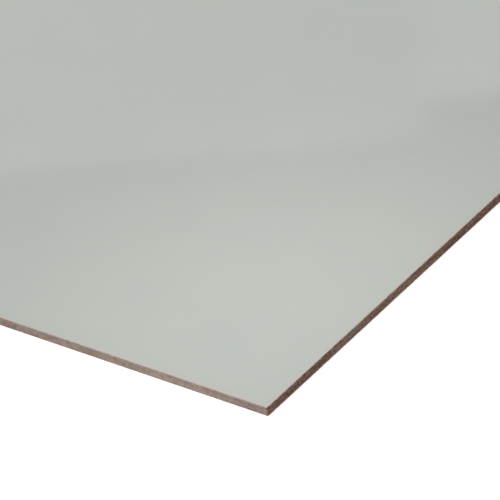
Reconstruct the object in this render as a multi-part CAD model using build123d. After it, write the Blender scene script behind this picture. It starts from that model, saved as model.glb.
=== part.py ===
from build123d import *
import os

# A sheet of hardboard: wood fibre pressed into one thin hard board, lacquered on its smooth face.
# Millimetres. The sheet lies flat with the lacquered face up, its length along X and its width along Y.
# The origin is the middle of the underside.

# The size that the sheet is sold in.
sheet_length = 1220.0
sheet_width = 610.0
sheet_thickness = 3.0

# The four corners come square off the saw, and handling takes no more than their point.
corner_radius = 0.6

# The lacquer runs over the upper arris in a small round.
lacquered_arris_radius = 0.3

# The lower arris is the side where the saw leaves the board, and its fibres break away in a small bevel.
screen_side_arris_break = 0.2


def sawn_outline():
    """The sheet as the saw cuts it out of the mill's board, seen from above."""
    return RectangleRounded(sheet_length, sheet_width, corner_radius)


def pressed_board(outline):
    """The outline at the thickness of the press, standing on its screen side."""
    return extrude(outline, amount=sheet_thickness)


def arris_at(board, level):
    """The closed run of edges round the sheet at one level, its four corner rounds included."""
    return board.edges().filter_by_position(Axis.Z, level, level)


def hardboard_sheet():
    """The board with its lacquered arris rounded and its screen-side arris broken."""
    board = pressed_board(sawn_outline())
    board = fillet(arris_at(board, sheet_thickness), lacquered_arris_radius)
    return chamfer(arris_at(board, 0), screen_side_arris_break)


def main():
    os.makedirs("parts", exist_ok=True)
    export_step(hardboard_sheet(), "parts/hardboard_sheet.step")


main()
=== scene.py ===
import math

import bmesh
import bpy
import numpy as np
from mathutils import Matrix, Vector


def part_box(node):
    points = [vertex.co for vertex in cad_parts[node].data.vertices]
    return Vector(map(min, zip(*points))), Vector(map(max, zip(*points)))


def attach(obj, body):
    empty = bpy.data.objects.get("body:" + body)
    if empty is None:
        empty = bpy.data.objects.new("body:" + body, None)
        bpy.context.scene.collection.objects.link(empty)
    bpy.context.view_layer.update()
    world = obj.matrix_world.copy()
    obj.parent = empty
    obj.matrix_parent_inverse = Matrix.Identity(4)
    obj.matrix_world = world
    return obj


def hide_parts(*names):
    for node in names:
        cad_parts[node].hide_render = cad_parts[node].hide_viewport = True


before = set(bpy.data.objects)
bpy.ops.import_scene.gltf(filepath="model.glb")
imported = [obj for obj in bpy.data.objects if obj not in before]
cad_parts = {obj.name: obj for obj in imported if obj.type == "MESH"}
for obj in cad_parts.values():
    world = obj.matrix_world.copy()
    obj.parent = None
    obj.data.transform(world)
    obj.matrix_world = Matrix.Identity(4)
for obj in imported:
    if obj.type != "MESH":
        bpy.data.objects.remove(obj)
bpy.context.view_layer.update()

# Metres, in the frame's own axes: the sheet lies flat, lacquered face up, its length along X.
MM = 0.001
low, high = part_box("hardboard_sheet")
length, width, thickness = high - low
near_corner = Vector((high.x, low.y, high.z))

# The sheet's small rounds, as the saw and the lacquer leave them.
CORNER_RADIUS = 0.6 * MM
LACQUERED_ARRIS = 0.3 * MM
LOWER_ARRIS = 0.2 * MM

# What the saw, the fibres and wear take out of the edges.
FIBRE_RELIEF = 0.06 * MM
SAW_RIPPLE = 0.02 * MM
SAW_PITCH = 1.6 * MM
ARRIS_CHIPS = 0.15 * MM
FOOT_TEAR = 0.10 * MM

# Where the noise starts, so that light and dark clumps lie along the near edges as in the photograph.
CLUMP_START = 320.3

# Where each of these fades out and where it is full, in millimetres: the lacquer's warm margin and the
# bare board past its brim, in from the cut edge, and the darkening of the fibre just under the face, down
# from it.
WARM_MARGIN = 3.5, 1.2
BARE_BRIM = 0.58, 0.46
UNDER_FACE_DARKENING_RANGE = 1.2, 0.6

# The wire mesh that the board's wet mat was pressed on.
WIRE_PITCH = 1.8 * MM
WIRE_SLOPE = 0.35

# Columns of the mesh along each side, halved at every ring that steps in towards the middle of a face.
LONG_SIDE_COLUMNS = 1792
SHORT_SIDE_COLUMNS = 896
CORNER_STEPS = 4
CORNER_CLOSENESS = 0.6
RING_INSETS = [inset * MM for inset in (0.9, 1.7, 3.2, 6.5, 13, 26, 52)]
ARRIS_ROWS = 3
SAWN_ROWS = 7

# Numbers that the mesh's finish attribute holds.
LACQUERED, SAWN, SCREENED = 0, 1, 2

# Edges sharper than this stay crisp in the shading.
SHARPEST = math.radians(42)

# The sheet's map for baking: the two faces above each other, then the edge in strips, at a finer scale.
MAP_TEXELS = 1024
FACE_TEXEL = 1.42 * MM
EDGE_TEXEL = 0.32 * MM
STRIP_TEXELS = 12
MARGIN_TEXELS = 4

# The stage: a floor just under the sheet, clear to rays that start within a hair of it, and a white room
# whose light from above and from below the sheet has its own strength.
FLOOR_REACH = 40.0
FLOOR_LEVEL = -0.1 * MM
FLOOR_GLOW = 0.78
CLEAR_DISTANCE = 0.25 * MM
ROOM_FROM_ABOVE = 0.3825
ROOM_FROM_BELOW = 0.6

# Lamps, in watts and metres.
KEY_POWER = 96
KEY_PLACE = -0.1, -3.1, 2.3
UNDER_POWER = 45
UNDER_PLACE = -1.2, 1.6, -1.5
POOL_POWER = 2.73
POOL_HEIGHT = 0.6
POOL_FROM_CORNER = Vector((-28, 42, 0)) * MM
POOL_ANGLE = math.radians(20.4)
PANELS_FROM_CORNER = Vector((-149, 69.8, 0)) * MM
PANELS_TURN = math.radians(34)
PANELS_HEIGHT = 0.3
PANELS_DEPTH = 1.1

# The two lengths of the panel: the name of each, where it starts and ends along the near edge, how far
# that edge is set back, and its power per metre.
PANELS = (("panel", -0.97, 0.129, 0.0, 0.225), ("panel_end", 0.129, 0.45, 0.0215, 0.32))

# Where the photograph stands: seen down on the near right-hand corner, from far off.
PHOTO_PIXELS = 500
CAMERA_AZIMUTH = math.radians(-48.2)
CAMERA_ELEVATION = math.radians(34.01)
CAMERA_ROLL = math.radians(-9.2)
FOCAL_PIXELS = 4000
CAMERA_DISTANCE = 1255.2 * MM
AIM_FROM_CORNER = Vector((-54.4, 64.7)) * MM
SENSOR_WIDTH = 36.0


# Nodes, for materials and for shapes

def socket(sockets, key):
    """A node's socket by its identifier, because several may share a name."""
    return next(s for s in sockets if s.identifier == key)


def add(tree, kind, inputs=(), **settings):
    """A new node. Each input is a plain value, or another node's output to link."""
    node = tree.nodes.new(kind)
    for name, value in settings.items():
        setattr(node, name, value)
    for key, value in dict(inputs).items():
        target = socket(node.inputs, key)
        if isinstance(value, bpy.types.NodeSocket):
            tree.links.new(value, target)
        else:
            target.default_value = value
    return node


def calc(tree, operation, first, second=0.0, third=0.0):
    inputs = {"Value": first, "Value_001": second, "Value_002": third}
    return add(tree, "ShaderNodeMath", inputs, operation=operation).outputs[0]


def vector_calc(tree, operation, first, second):
    inputs = {"Vector": first, "Scale" if operation == "SCALE" else "Vector_001": second}
    node = add(tree, "ShaderNodeVectorMath", inputs, operation=operation)
    return node.outputs["Value" if operation == "DOT_PRODUCT" else "Vector"]


def between(tree, value, low_end, high_end, to_low=0.0, to_high=1.0):
    """A value stretched from one range to another, and held at its ends."""
    inputs = {
        "Value": value,
        "From Min": low_end,
        "From Max": high_end,
        "To Min": to_low,
        "To Max": to_high,
    }
    return add(tree, "ShaderNodeMapRange", inputs).outputs["Result"]


def noise(tree, place, fineness, detail=2.0, offset=0.0):
    """Noise with so many lumps to the millimetre along X, Y and Z."""
    moved = vector_calc(tree, "ADD", vector_calc(tree, "MULTIPLY", place, fineness), (offset,) * 3)
    inputs = {"Vector": moved, "Scale": 1.0, "Detail": detail, "Roughness": 0.6}
    return socket(add(tree, "ShaderNodeTexNoise", inputs).outputs, "Fac")


def mixed(tree, factor, first, second):
    inputs = {"Factor_Float": factor, "A_Color": first, "B_Color": second}
    node = add(tree, "ShaderNodeMix", inputs, data_type="RGBA")
    return socket(node.outputs, "Result_Color")


def rgba(red, green, blue):
    return (red, green, blue, 1.0)


# Materials

# Pairs run from one end of a drift of colour to the other, or from the fibre's pits, darkened with painted
# shade, to its high points.
GREY_LACQUER = rgba(0.517, 0.552, 0.511), rgba(0.529, 0.564, 0.521)
WARM_LACQUER = rgba(0.558, 0.523, 0.483)
RED_FIBRE = rgba(0.088, 0.028, 0.017), rgba(0.43, 0.220, 0.163)
OLIVE_FIBRE = rgba(0.067, 0.050, 0.0355), rgba(0.38, 0.287, 0.222)
# Pale grey for the long edges: partly saw dust, partly a painted sheen of the light that falls on them.
DUST_AND_SHEEN = rgba(0.384, 0.347, 0.316)
# Dark brown that the fibre just below the face is mixed towards.
DARK_UNDER_FACE = rgba(0.05, 0.03, 0.02)
SCREEN_SIDE_BROWN = rgba(0.245, 0.155, 0.113)
# Painted shade for the lines of the wire imprint.
IMPRINT_PAINTED_SHADE = rgba(0.10, 0.058, 0.037)

LACQUER_ROUGHNESS = 0.3
FIBRE_ROUGHNESS = 0.75
SCREEN_SIDE_ROUGHNESS = 0.8

# How high the relief that is too fine for the mesh stands in the shading.
PEEL_HEIGHT = 0.015 * MM
SAWN_FIBRE_HEIGHT = 0.08 * MM
PRESSED_FIBRE_HEIGHT = 0.05 * MM


def new_material(name, roughness, specular):
    material = bpy.data.materials.new(name)
    material.use_nodes = True
    tree = material.node_tree
    shader = tree.nodes["Principled BSDF"]
    shader.inputs["Roughness"].default_value = roughness
    shader.inputs["Specular IOR Level"].default_value = specular
    return material, tree, shader


def object_millimetres(tree):
    coordinates = add(tree, "ShaderNodeTexCoord")
    return vector_calc(tree, "MULTIPLY", coordinates.outputs["Object"], (1 / MM,) * 3)


def depths_from_cut(tree, place):
    """Millimetres in from the nearer cut edge, millimetres down from the lacquered face, and 1 on a long
    edge or 0 on a short one."""
    apart = add(tree, "ShaderNodeSeparateXYZ", {"Vector": place})
    from_end = calc(tree, "SUBTRACT", length / 2 / MM, calc(tree, "ABSOLUTE", apart.outputs["X"]))
    from_side = calc(tree, "SUBTRACT", width / 2 / MM, calc(tree, "ABSOLUTE", apart.outputs["Y"]))
    inset = calc(tree, "MINIMUM", from_end, from_side)
    down = calc(tree, "SUBTRACT", thickness / MM, apart.outputs["Z"])
    on_long_edge = between(tree, calc(tree, "SUBTRACT", from_end, from_side), -0.4, 0.4)
    return inset, down, on_long_edge


def pressed_fibre(tree, place):
    """Colour and height of pressed fibre: red and olive clumps, flecks, streaks in the plane of the board,
    and pits, with painted shade that darkens the low parts of its relief."""
    clump = noise(tree, place, (0.05, 0.05, 0.25), offset=CLUMP_START)
    tint = noise(tree, place, (0.2, 0.2, 0.5), offset=41)
    fleck = noise(tree, place, (0.9, 0.9, 1.3), offset=53)
    streak = noise(tree, place, (0.9, 0.9, 5.0), 3.0, offset=11)
    pit = noise(tree, place, (2.4, 2.4, 4.5), offset=71)
    height = calc(tree, "MULTIPLY_ADD", pit, 0.6, streak)
    hue = calc(tree, "MULTIPLY_ADD", fleck, 0.35, calc(tree, "MULTIPLY", clump, 0.65))
    hue = between(tree, calc(tree, "ADD", hue, tint), 0.80, 1.20)
    tone = calc(tree, "MULTIPLY_ADD", clump, 0.9, calc(tree, "MULTIPLY", fleck, 1.5))
    # The tone follows the fibre's height: painted shade in its pits and low streaks, on top of the clumps
    # and flecks.
    tone = between(tree, calc(tree, "MULTIPLY_ADD", height, 0.8, tone), 1.48, 2.12)
    red = mixed(tree, tone, *RED_FIBRE)
    olive = mixed(tree, tone, *OLIVE_FIBRE)
    return mixed(tree, hue, red, olive), height


def sawn_board(tree, place, down, on_long_edge):
    """Colour and height of the board where the saw went. The long edges are paler and greyer, partly with
    saw dust and partly with a painted sheen of the light that falls on them, and the fibre just below the
    face is darker."""
    brown, height = pressed_fibre(tree, place)
    # The long edges are made paler and greyer: partly saw dust, partly painted sheen.
    cloud = between(tree, noise(tree, place, (0.3,) * 3, offset=23), 0.25, 0.75, 0.25, 0.5)
    dust_and_sheen = calc(tree, "MULTIPLY", on_long_edge, cloud)
    with_dust_and_sheen = mixed(tree, dust_and_sheen, brown, DUST_AND_SHEEN)
    # The fibre is darker just below the face.
    under_face_darkening = between(tree, down, *UNDER_FACE_DARKENING_RANGE, 0.0, 0.1)
    return mixed(tree, under_face_darkening, with_dust_and_sheen, DARK_UNDER_FACE), height


def bumped(tree, height, distance):
    return add(tree, "ShaderNodeBump", {"Height": height, "Distance": distance}).outputs["Normal"]


def lacquer():
    """Pale grey satin lacquer, warmer towards the arris, with bare board below its ragged brim."""
    material, tree, shader = new_material("pale_grey_lacquer", LACQUER_ROUGHNESS, 0.5)
    place = object_millimetres(tree)
    inset, down, on_long_edge = depths_from_cut(tree, place)
    drift = between(tree, noise(tree, place, (0.03,) * 3, 3.0), 0.3, 0.7)
    face = mixed(tree, drift, *GREY_LACQUER)
    rag = noise(tree, place, (1.1,) * 3, offset=5)
    warmth = between(tree, calc(tree, "MULTIPLY_ADD", rag, 1.2, inset), *WARM_MARGIN)
    coat = mixed(tree, warmth, face, WARM_LACQUER)
    brim = calc(tree, "MULTIPLY_ADD", rag, 0.3, calc(tree, "SUBTRACT", inset, down))
    chip = add(tree, "ShaderNodeAttribute", attribute_name="chip").outputs["Fac"]
    bare = between(tree, calc(tree, "MULTIPLY_ADD", chip, -0.8, brim), *BARE_BRIM)
    brown = sawn_board(tree, place, down, on_long_edge)[0]
    peel = noise(tree, place, (0.55,) * 3, offset=19)
    roughness = between(tree, bare, 0, 1, LACQUER_ROUGHNESS, FIBRE_ROUGHNESS)
    tree.links.new(mixed(tree, bare, coat, brown), shader.inputs["Base Color"])
    tree.links.new(roughness, shader.inputs["Roughness"])
    tree.links.new(bumped(tree, peel, PEEL_HEIGHT), shader.inputs["Normal"])
    return material


def sawn_fibre():
    """The sawn faces of the edges."""
    material, tree, shader = new_material("sawn_fibre", FIBRE_ROUGHNESS, 0.3)
    place = object_millimetres(tree)
    down, on_long_edge = depths_from_cut(tree, place)[1:]
    brown, height = sawn_board(tree, place, down, on_long_edge)
    tree.links.new(brown, shader.inputs["Base Color"])
    tree.links.new(bumped(tree, height, SAWN_FIBRE_HEIGHT), shader.inputs["Normal"])
    return material


def screen_side():
    """The side that was pressed on wire mesh, with its imprint in relief and in painted shade along its
    lines.
    """
    material, tree, shader = new_material("screen_side", SCREEN_SIDE_ROUGHNESS, 0.3)
    place = object_millimetres(tree)
    apart = add(tree, "ShaderNodeSeparateXYZ", {"Vector": place})
    wires, slopes = [], {}
    for axis in "XY":
        turns = calc(tree, "MULTIPLY", apart.outputs[axis], 2 * math.pi * MM / WIRE_PITCH)
        wires.append(between(tree, calc(tree, "COSINE", turns), 0.2, 1.0))
        slopes[axis] = calc(tree, "MULTIPLY", calc(tree, "SINE", turns), WIRE_SLOPE)
    imprint = calc(tree, "MAXIMUM", *wires)
    fibre, height = pressed_fibre(tree, place)
    brown = mixed(tree, 0.6, fibre, SCREEN_SIDE_BROWN)
    # Painted shade along the wire imprint, in place of the shading of its relief.
    painted_imprint_shade = calc(tree, "MULTIPLY", imprint, 0.5)
    lean = add(tree, "ShaderNodeCombineXYZ", slopes).outputs["Vector"]
    lean = add(tree, "ShaderNodeVectorTransform", {"Vector": lean}, vector_type="VECTOR").outputs["Vector"]
    rough = bumped(tree, height, PRESSED_FIBRE_HEIGHT)
    tree.links.new(mixed(tree, painted_imprint_shade, brown, IMPRINT_PAINTED_SHADE), shader.inputs["Base Color"])
    tree.links.new(vector_calc(tree, "ADD", rough, lean), shader.inputs["Normal"])
    return material


# Mesh of the plain blank

def side_places(columns):
    """Places along a side from -1 to 1, closer together towards the corners."""
    t = np.linspace(0, 1, columns + 1)
    return 2 * (t - CORNER_CLOSENESS * np.sin(2 * np.pi * t) / (2 * np.pi)) - 1


def ring(inset, height, thinning=1, corner_steps=CORNER_STEPS):
    """Points round the sheet, counterclockwise from above, inset from the cut size, each with its way out
    of the sheet. Thinned rings have square corners."""
    radius = max(CORNER_RADIUS - inset, 0)
    centre_inset = max(CORNER_RADIUS, inset)
    points, outwards = [], []
    for side in range(4):
        turn = side * math.pi / 2
        along = np.array([math.cos(turn), math.sin(turn)]).round()
        out = np.array([along[1], -along[0]])
        run, reach, columns = (
            (width, length, SHORT_SIDE_COLUMNS) if side % 2 else (length, width, LONG_SIDE_COLUMNS)
        )
        places = side_places(columns)[::thinning] * (run / 2 - centre_inset)
        straight = places[:, None] * along + (reach / 2 - inset) * out
        if not corner_steps:
            straight = straight[:-1]
        points.append(straight)
        outwards.append(np.tile(out, (len(straight), 1)))
        if corner_steps:
            theta = np.linspace(0, math.pi / 2, corner_steps + 1)[1:-1, None]
            away = np.cos(theta) * out + np.sin(theta) * along
            centre = (run / 2 - centre_inset) * along + (reach / 2 - inset - radius) * out
            points.append(centre + radius * away)
            outwards.append(away)
    flat = np.concatenate(points)
    return (
        np.column_stack([flat, np.full(len(flat), height)]),
        np.pad(np.concatenate(outwards), ((0, 0), (0, 1))),
    )


def band(first, second, count):
    """Quads between two rings of as many points, facing outwards."""
    i = np.arange(count)
    j = (i + 1) % count
    return np.stack([first + i, second + i, second + j, first + j], 1).tolist()


def thinning_band(fine, coarse, count):
    """Triangles from a ring to one inside it with half as many points."""
    j = np.arange(count // 2)
    n = (j + 1) % (count // 2)
    a, b, c = fine + 2 * j, fine + 2 * j + 1, fine + (2 * j + 2) % count
    return (
        np.stack([coarse + j, a, b], 1).tolist()
        + np.stack([coarse + j, b, coarse + n], 1).tolist()
        + np.stack([coarse + n, b, c], 1).tolist()
    )


def edge_rows():
    """Each row round the edge, from the lacquered face down to the screen side: its inset, its height, and
    how far it is worn arris, sawn face and torn foot."""
    rows = [(RING_INSETS[0], thickness, 0, 0, 0)]
    for row in range(ARRIS_ROWS + 1):
        turn = row / ARRIS_ROWS * math.pi / 2
        inset = LACQUERED_ARRIS * (1 - math.sin(turn))
        height = thickness - LACQUERED_ARRIS * (1 - math.cos(turn))
        rows.append((inset, height, 0.6 + 0.4 * math.sin(2 * turn), row / ARRIS_ROWS, 0))
    arris = thickness - LACQUERED_ARRIS
    for row in range(1, SAWN_ROWS + 1):
        height = arris + (LOWER_ARRIS - arris) * row / SAWN_ROWS
        rows.append((0, height, 0, 1, float(row == SAWN_ROWS)))
    rows += [(LOWER_ARRIS, 0, 0, 0, 1), (RING_INSETS[0], 0, 0, 0, 0)]
    return rows


def cap(height, upward):
    """One flat face: rings that thin out inwards, then a plain grid of large cells."""
    points, faces, start = [], [], 0
    for step, inset in enumerate(RING_INSETS):
        loop = ring(inset, height, 2**step, 0)[0]
        if step:
            faces += thinning_band(start - len(points[-1]), start, len(points[-1]))
        points.append(loop)
        start += len(loop)
    thinning = 2 ** (len(RING_INSETS) - 1)
    xs = side_places(LONG_SIDE_COLUMNS)[::thinning] * (length / 2 - RING_INSETS[-1])
    ys = side_places(SHORT_SIDE_COLUMNS)[::thinning] * (width / 2 - RING_INSETS[-1])
    grid = np.stack(np.meshgrid(xs, ys), -1).reshape(-1, 2)
    points.append(np.column_stack([grid, np.full(len(grid), height)]))
    across = len(xs)
    for row in range(len(ys) - 1):
        for column in range(across - 1):
            a = start + row * across + column
            faces.append([a, a + 1, a + across + 1, a + across])
    if not upward:
        faces = [face[::-1] for face in faces]
    return np.concatenate(points), faces


def flat_map(points, upward):
    """Places on the map of points on a face, seen from outside."""
    x = points[:, 0] if upward else -points[:, 0]
    first = MARGIN_TEXELS if upward else 2 * MARGIN_TEXELS + width / FACE_TEXEL
    across = (x + length / 2) / FACE_TEXEL + MARGIN_TEXELS
    up = (points[:, 1] + width / 2) / FACE_TEXEL + first
    return np.column_stack([across, up]) / MAP_TEXELS


def strip_map(loop, rows):
    """Places on the map of the corners of every quad round the edge, one array for each band of quads."""
    steps = np.linalg.norm(np.roll(loop, -1, 0) - loop, axis=1) / EDGE_TEXEL
    ends = np.cumsum(steps)
    strip = (ends // (MAP_TEXELS - 3 * MARGIN_TEXELS)).astype(int)
    strip_start = np.array([(ends - steps)[strip == number].min() for number in strip])
    left = ends - steps - strip_start + MARGIN_TEXELS
    drops = np.linalg.norm(np.diff([row[:2] for row in rows], axis=0), axis=1)
    depth = np.concatenate([[0], np.cumsum(drops[1:-1])])
    depth *= (STRIP_TEXELS - 2) / depth[-1]
    foot = 3 * MARGIN_TEXELS + 2 * width / FACE_TEXEL + STRIP_TEXELS * strip
    maps = []
    for upper, lower in zip(depth[:-1], depth[1:]):
        above, below = foot + STRIP_TEXELS - upper, foot + STRIP_TEXELS - lower
        quad = [(left, above), (left, below), (left + steps, below), (left + steps, above)]
        maps.append(np.stack([np.stack(corner, -1) for corner in quad], 1).reshape(-1, 2) / MAP_TEXELS)
    return maps


def put_attribute(mesh, name, kind, domain, values):
    layer = mesh.attributes.new(name, kind, domain)
    layer.data.foreach_set("vector" if kind == "FLOAT_VECTOR" else "value", np.ravel(values))


def blank_mesh(materials):
    """The whole sheet as one closed mesh with plain edges, its map, and the attributes its nodes read."""
    rows = edge_rows()
    points, outwards, faces, finishes, maps = [], [], [], [], []
    weights = {"arris": [], "sawn": [], "foot": []}
    for inset, height, *row_weights in rows:
        loop, outward = ring(inset, height)
        count = len(loop)
        points.append(loop)
        outwards.append(outward)
        for name, weight in zip(weights, row_weights):
            weights[name].append(np.full(count, float(weight)))
    strips = strip_map(ring(0, 0)[0], rows)
    edge_points = np.concatenate(points)
    for row in range(len(rows) - 1):
        quads = band(row * count, (row + 1) * count, count)
        faces += quads
        first, last = row == 0, row == len(rows) - 2
        finishes += [LACQUERED if row <= ARRIS_ROWS else SCREENED if last else SAWN] * count
        if first or last:
            maps.append(flat_map(edge_points[np.ravel(quads)], first))
        else:
            maps.append(strips[row - 1])
    start = count * len(rows)
    for height, upward, finish in ((thickness, True, LACQUERED), (0, False, SCREENED)):
        cap_points, cap_faces = cap(height, upward)
        maps.append(flat_map(cap_points[np.concatenate(cap_faces)], upward))
        points.append(cap_points)
        outwards.append(np.zeros_like(cap_points))
        faces += [[start + i for i in face] for face in cap_faces]
        finishes += [finish] * len(cap_faces)
        start += len(cap_points)
        for values in weights.values():
            values.append(np.zeros(len(cap_points)))
    mesh = bpy.data.meshes.new("lacquered_hardboard_sheet")
    mesh.from_pydata(np.concatenate(points).tolist(), [], faces)
    for material in materials:
        mesh.materials.append(material)
    mesh.uv_layers.new(name="OFBake").data.foreach_set("uv", np.ravel(np.concatenate(maps)))
    put_attribute(mesh, "finish", "INT", "FACE", finishes)
    put_attribute(mesh, "outward", "FLOAT_VECTOR", "POINT", np.concatenate(outwards))
    for name, values in weights.items():
        put_attribute(mesh, name, "FLOAT", "POINT", np.concatenate(values))
    work = bmesh.new()
    work.from_mesh(mesh)
    bmesh.ops.remove_doubles(work, verts=work.verts, dist=0.001 * MM)
    work.to_mesh(mesh)
    work.free()
    return mesh


# Geometry nodes that saw and wear the blank

def named(tree, name, data_type="FLOAT"):
    inputs = {"Name": name}
    return add(tree, "GeometryNodeInputNamedAttribute", inputs, data_type=data_type).outputs["Attribute"]


def sawn_relief(tree, board, inputs):
    """Pulls the edges in by their fibre relief, saw ripple, arris chips and torn foot, and keeps where the
    arris is chipped."""
    arris, sawn, foot = (named(tree, name) for name in ("arris", "sawn", "foot"))
    place = add(tree, "GeometryNodeInputPosition").outputs[0]
    place = vector_calc(tree, "ADD", vector_calc(tree, "SCALE", place, 1 / MM), inputs["Seed"])
    fibre = between(tree, noise(tree, place, (0.6, 0.6, 1.8), 3.0), 0.25, 0.75)
    slant = vector_calc(tree, "DOT_PRODUCT", place, (MM, MM, 0.35 * MM))
    turns = calc(tree, "DIVIDE", slant, inputs["Saw pitch"])
    wave = calc(tree, "SINE", calc(tree, "MULTIPLY", turns, 2 * math.pi))
    ripple = calc(tree, "MULTIPLY_ADD", wave, 0.5, 0.5)
    depth = calc(tree, "MULTIPLY", fibre, inputs["Fibre relief"])
    depth = calc(tree, "MULTIPLY", calc(tree, "MULTIPLY_ADD", ripple, inputs["Saw ripple"], depth), sawn)
    nibble = between(tree, noise(tree, place, (0.45, 0.45, 0), offset=3), 0.66, 0.8)
    chip = calc(tree, "MULTIPLY", nibble, arris)
    chip_depth = calc(tree, "MULTIPLY", chip, inputs["Arris chips"])
    tear = between(tree, noise(tree, place, (0.7, 0.7, 0), offset=9), 0.45, 0.8)
    tear = calc(tree, "MULTIPLY", calc(tree, "MULTIPLY", tear, foot), inputs["Foot tear"])
    depth = calc(tree, "ADD", calc(tree, "ADD", depth, chip_depth), tear)
    outward = named(tree, "outward", "FLOAT_VECTOR")
    inward = vector_calc(tree, "SCALE", outward, calc(tree, "MULTIPLY", depth, -1.0))
    rise = calc(tree, "MULTIPLY_ADD", tear, sawn, calc(tree, "MULTIPLY", chip_depth, -0.5))
    lift = add(tree, "ShaderNodeCombineXYZ", {"Z": rise}).outputs["Vector"]
    moved = add(
        tree,
        "GeometryNodeSetPosition",
        {"Geometry": board, "Offset": vector_calc(tree, "ADD", inward, lift)},
    )
    kept = add(
        tree,
        "GeometryNodeStoreNamedAttribute",
        {"Geometry": moved.outputs["Geometry"], "Name": "chip", "Value": chip},
        data_type="FLOAT",
        domain="POINT",
    )
    return kept.outputs["Geometry"]


def finished(tree, board, number, material):
    """The board with a material on the faces of one finish."""
    is_number = add(
        tree,
        "FunctionNodeCompare",
        {"A_INT": named(tree, "finish", "INT"), "B_INT": number},
        data_type="INT",
        operation="EQUAL",
    )
    inputs = {"Geometry": board, "Selection": is_number.outputs["Result"], "Material": material}
    return add(tree, "GeometryNodeSetMaterial", inputs).outputs["Geometry"]


def sawing_tree():
    """Blank in, sawn and finished sheet out."""
    tree = bpy.data.node_groups.new("sawn_sheet", "GeometryNodeTree")
    kinds = {
        "Blank": "Geometry",
        "Seed": "Vector",
        "Fibre relief": "Float",
        "Saw ripple": "Float",
        "Saw pitch": "Float",
        "Arris chips": "Float",
        "Foot tear": "Float",
        "Lacquer": "Material",
        "Sawn fibre": "Material",
        "Screen side": "Material",
    }
    for name, kind in kinds.items():
        tree.interface.new_socket(name=name, in_out="INPUT", socket_type="NodeSocket" + kind)
    tree.interface.new_socket(name="Sheet", in_out="OUTPUT", socket_type="NodeSocketGeometry")
    inputs = add(tree, "NodeGroupInput").outputs
    board = sawn_relief(tree, inputs["Blank"], inputs)
    board = add(tree, "GeometryNodeRealizeInstances", {"Geometry": board}).outputs["Geometry"]
    for number, name in ((LACQUERED, "Lacquer"), (SAWN, "Sawn fibre"), (SCREENED, "Screen side")):
        board = finished(tree, board, number, inputs[name])
    tree.links.new(board, add(tree, "NodeGroupOutput").inputs["Sheet"])
    return tree


def through_nodes(name, blank, tree, values):
    """The blank passed through the tree's nodes and kept as a plain mesh."""
    maker = bpy.data.objects.new(name + "_blank", blank)
    bpy.context.scene.collection.objects.link(maker)
    modifier = maker.modifiers.new("sawing", "NODES")
    modifier.node_group = tree
    for item in tree.interface.items_tree:
        if item.name in values:
            modifier[item.identifier] = values[item.name]
    depsgraph = bpy.context.evaluated_depsgraph_get()
    mesh = bpy.data.meshes.new_from_object(maker.evaluated_get(depsgraph), depsgraph=depsgraph)
    bpy.data.objects.remove(maker)
    bpy.data.meshes.remove(blank)
    mesh.name = name
    mesh.shade_smooth()
    mesh.set_sharp_from_angle(angle=SHARPEST)
    obj = bpy.data.objects.new(name, mesh)
    bpy.context.scene.collection.objects.link(obj)
    return obj


def lacquered_hardboard_sheet():
    finishes = lacquer(), sawn_fibre(), screen_side()
    sheet = through_nodes("lacquered_hardboard_sheet", blank_mesh(finishes), sawing_tree(), {
        "Seed": (1.0, 2.0, 3.0),
        "Fibre relief": FIBRE_RELIEF,
        "Saw ripple": SAW_RIPPLE,
        "Saw pitch": SAW_PITCH,
        "Arris chips": ARRIS_CHIPS,
        "Foot tear": FOOT_TEAR,
        "Lacquer": finishes[LACQUERED],
        "Sawn fibre": finishes[SAWN],
        "Screen side": finishes[SCREENED],
    })
    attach(sheet, "root")
    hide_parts("hardboard_sheet")
    return sheet


# Stage

def seen(tree):
    """1 for the rays that show the stage to the eye, straight or in a reflection."""
    rays = add(tree, "ShaderNodeLightPath").outputs
    mirrored = calc(tree, "MAXIMUM", rays["Is Glossy Ray"], rays["Is Transmission Ray"])
    return calc(tree, "MAXIMUM", rays["Is Camera Ray"], mirrored)


def floor():
    """A pale floor that is white to the eye and to reflections and keeps the sheet's shadow. It is clear
    from below and at a hair's distance, so that the underside can be seen and is lit."""
    sides = (-1, -1), (1, -1), (1, 1), (-1, 1)
    corners = [(x * FLOOR_REACH, y * FLOOR_REACH, FLOOR_LEVEL) for x, y in sides]
    mesh = bpy.data.meshes.new("floor")
    mesh.from_pydata(corners, [], [(0, 1, 2, 3)])
    material, tree, shader = new_material("floor", 1.0, 0.0)
    shader.inputs["Base Color"].default_value = rgba(0.5, 0.5, 0.5)
    glow = add(tree, "ShaderNodeEmission", {"Strength": calc(tree, "MULTIPLY", seen(tree), FLOOR_GLOW)})
    both = add(tree, "ShaderNodeAddShader")
    tree.links.new(shader.outputs[0], both.inputs[0])
    tree.links.new(glow.outputs[0], both.inputs[1])
    path = add(tree, "ShaderNodeLightPath")
    near = calc(tree, "LESS_THAN", path.outputs["Ray Length"], CLEAR_DISTANCE)
    back = add(tree, "ShaderNodeNewGeometry").outputs["Backfacing"]
    open_below = add(tree, "ShaderNodeMixShader", {"Fac": calc(tree, "MAXIMUM", near, back)})
    tree.links.new(both.outputs[0], open_below.inputs[1])
    tree.links.new(add(tree, "ShaderNodeBsdfTransparent").outputs[0], open_below.inputs[2])
    tree.links.new(open_below.outputs[0], tree.nodes["Material Output"].inputs["Surface"])
    mesh.materials.append(material)
    obj = bpy.data.objects.new("floor", mesh)
    bpy.context.scene.collection.objects.link(obj)


def lamp(name, kind, place, target, power, turn=0.0, **settings):
    light = bpy.data.lights.new(name, kind)
    light.energy = power
    for setting, value in settings.items():
        setattr(light, setting, value)
    obj = bpy.data.objects.new(name, light)
    aim = (Vector(place) - Vector(target)).to_track_quat("Z", "Y").to_matrix().to_4x4()
    obj.matrix_world = Matrix.Translation(place) @ aim @ Matrix.Rotation(turn, 4, "Z")
    obj.visible_camera = False
    bpy.context.scene.collection.objects.link(obj)
    return obj


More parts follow.
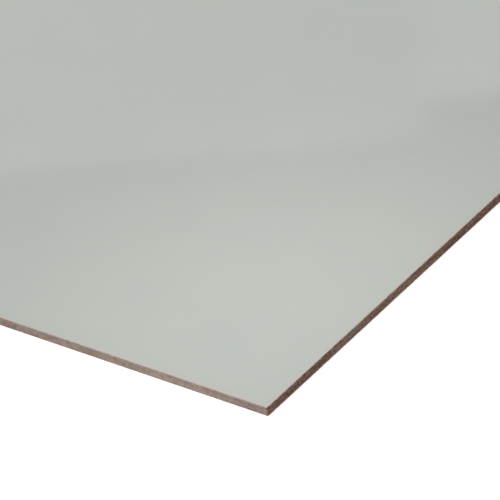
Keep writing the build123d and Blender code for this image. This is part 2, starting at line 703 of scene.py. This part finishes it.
def studio_light():
    """A white room, a broad lamp in front that favours the long edge, one below that lights the underside,
    a soft pool by the near corner, and a faint panel over all the rest, whose edge runs across that
    corner."""
    sky = bpy.data.worlds.new("studio")
    sky.use_nodes = True
    tree = sky.node_tree
    background = tree.nodes["Background"]
    background.inputs["Color"].default_value = rgba(1, 1, 1)
    towards = add(tree, "ShaderNodeTexCoord").outputs["Generated"]
    height = add(tree, "ShaderNodeSeparateXYZ", {"Vector": towards}).outputs["Z"]
    room = between(tree, height, -0.01, 0.01, ROOM_FROM_BELOW, ROOM_FROM_ABOVE)
    tree.links.new(calc(tree, "MAXIMUM", seen(tree), room), background.inputs["Strength"])
    bpy.context.scene.world = sky
    lamp("key", "AREA", KEY_PLACE, near_corner, KEY_POWER, shape="RECTANGLE", size=2.8, size_y=2.0)
    lamp("under", "AREA", UNDER_PLACE, (0, 0, 0), UNDER_POWER, shape="RECTANGLE", size=1.0, size_y=1.0)
    pool = near_corner + POOL_FROM_CORNER
    lamp(
        "pool", "SPOT", pool + Vector((0, 0, POOL_HEIGHT)), pool, POOL_POWER,
        spot_size=POOL_ANGLE, spot_blend=1.0, shadow_soft_size=0.05,
    ).visible_glossy = False
    start = near_corner + PANELS_FROM_CORNER
    along = Vector((math.cos(PANELS_TURN), math.sin(PANELS_TURN), 0))
    across = Vector((-math.sin(PANELS_TURN), math.cos(PANELS_TURN), 0))
    for name, left, right, set_back, power in PANELS:
        middle = start + along * (left + right) / 2 + across * (set_back + PANELS_DEPTH / 2)
        above = middle + Vector((0, 0, PANELS_HEIGHT))
        lamp(
            name, "AREA", above, middle, power * (right - left), PANELS_TURN,
            shape="RECTANGLE", size=right - left, size_y=PANELS_DEPTH, spread=math.radians(4),
        ).visible_glossy = False


def camera():
    """The photograph's view, from far off with a long lens, rolled a little to the right."""
    aim = near_corner + AIM_FROM_CORNER.to_3d()
    level = math.cos(CAMERA_ELEVATION)
    back = Vector((
        level * math.cos(CAMERA_AZIMUTH),
        level * math.sin(CAMERA_AZIMUTH),
        math.sin(CAMERA_ELEVATION),
    ))
    right = Vector((0, 0, 1)).cross(back).normalized()
    up = back.cross(right)
    turn = Matrix((right, up, back)).transposed() @ Matrix.Rotation(CAMERA_ROLL, 3, "Z")
    lens = bpy.data.cameras.new("camera")
    lens.sensor_width = SENSOR_WIDTH
    lens.lens = SENSOR_WIDTH * FOCAL_PIXELS / PHOTO_PIXELS
    lens.clip_end = 100
    obj = bpy.data.objects.new("camera", lens)
    obj.matrix_world = Matrix.Translation(aim + back * CAMERA_DISTANCE) @ turn.to_4x4()
    bpy.context.scene.collection.objects.link(obj)
    bpy.context.scene.camera = obj


def main():
    bpy.context.scene.view_settings.view_transform = "Standard"
    camera()
    studio_light()
    floor()
    lacquered_hardboard_sheet()


main()
